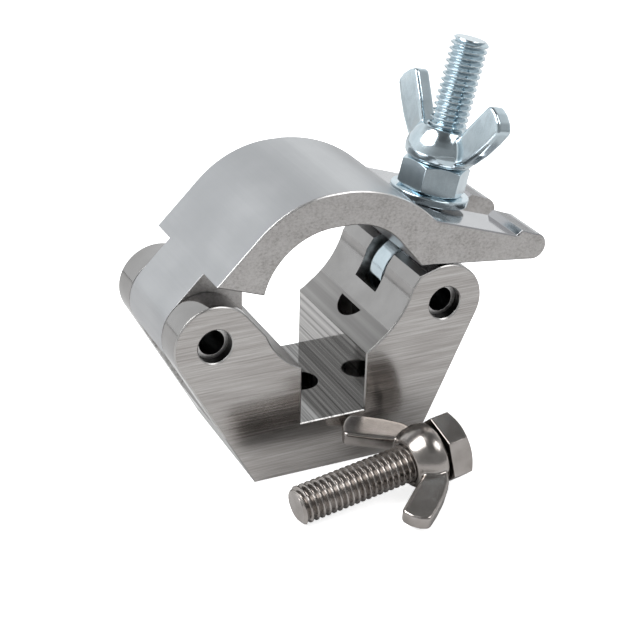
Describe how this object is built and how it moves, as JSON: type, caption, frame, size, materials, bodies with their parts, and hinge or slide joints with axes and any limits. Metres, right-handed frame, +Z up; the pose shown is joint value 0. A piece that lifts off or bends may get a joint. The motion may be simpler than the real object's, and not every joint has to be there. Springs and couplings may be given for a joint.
{
  "type": "pipe clamp",
  "caption": "Hinged aluminium pipe clamp with a swing eyebolt and wing nut closing the arm over the tube seat, and a loose fixing bolt with its own wing nut.",
  "frame": {"origin": "centre of the tube seat, half way along the tube's length in the clamp", "axes": "+X from the arm's hinge to the eyebolt, +Y along the tube, +Z up from the resting face to the seat"},
  "size_m": [0.1336, 0.1036, 0.1353],
  "materials": {
    "body_aluminium": "machined, semi-gloss",
    "arm_aluminium": "saw-cut faces, satin outside",
    "pin_steel": "dark spring steel",
    "bolt_zinc": "bright zinc plated",
    "nut_zinc": "bright zinc plated",
    "loose_steel": "plated, warm grey"
  },
  "bodies": {
    "base": {"body": "body_aluminium", "hinge_pin": "pin_steel", "eyebolt_pin": "pin_steel"},
    "arm": {"arm": "arm_aluminium"},
    "eyebolt": {"eyebolt": "bolt_zinc"},
    "nut_stack": {"hex_nut": "nut_zinc", "flat_washer": "nut_zinc"},
    "wing_nut": {"wing_nut": "nut_zinc"},
    "fixing_bolt": {"fixing_bolt": "loose_steel"},
    "fixing_wing_nut": {"fixing_wing_nut": "loose_steel"}
  },
  "joints": [
    {"name": "eyebolt_swing", "type": "hinge", "parent": "base", "child": "eyebolt", "pos_m": [0.0409, 0, -0.0087], "axis": [0, 1, 0], "range_deg": [0, 60]},
    {"name": "arm_hinge", "type": "hinge", "parent": "base", "child": "arm", "pos_m": [-0.0409, 0, -0.0087], "axis": [0, -1, 0], "range_deg": [0, 8]},
    {"name": "nut_travel", "type": "slide", "parent": "eyebolt", "child": "nut_stack", "axis": [0.2317, 0, 0.9728], "range_m": [0, 0.035]},
    {"name": "wing_nut_spin", "type": "hinge", "parent": "nut_stack", "child": "wing_nut", "pos_m": [0.0409, 0, -0.0087], "axis": [0.2317, 0, 0.9728], "continuous": true},
    {"name": "fixing_bolt_lift", "type": "slide", "parent": "base", "child": "fixing_bolt", "axis": [0, 0, 1], "range_m": [0, 0.04]},
    {"name": "fixing_nut_travel", "type": "slide", "parent": "fixing_bolt", "child": "fixing_wing_nut", "axis": [-0.9912, -0.0589, -0.1184], "range_m": [0, 0.028]}
  ],
  "couplings": [
    {"joint": "arm_hinge", "follows": "eyebolt_swing", "ratio": 0.13333},
    {"joint": "nut_travel", "follows": "eyebolt_swing", "m_per_rad": 0.033423},
    {"joint": "fixing_nut_travel", "follows": "fixing_bolt_lift", "ratio": 0.7}
  ]
}
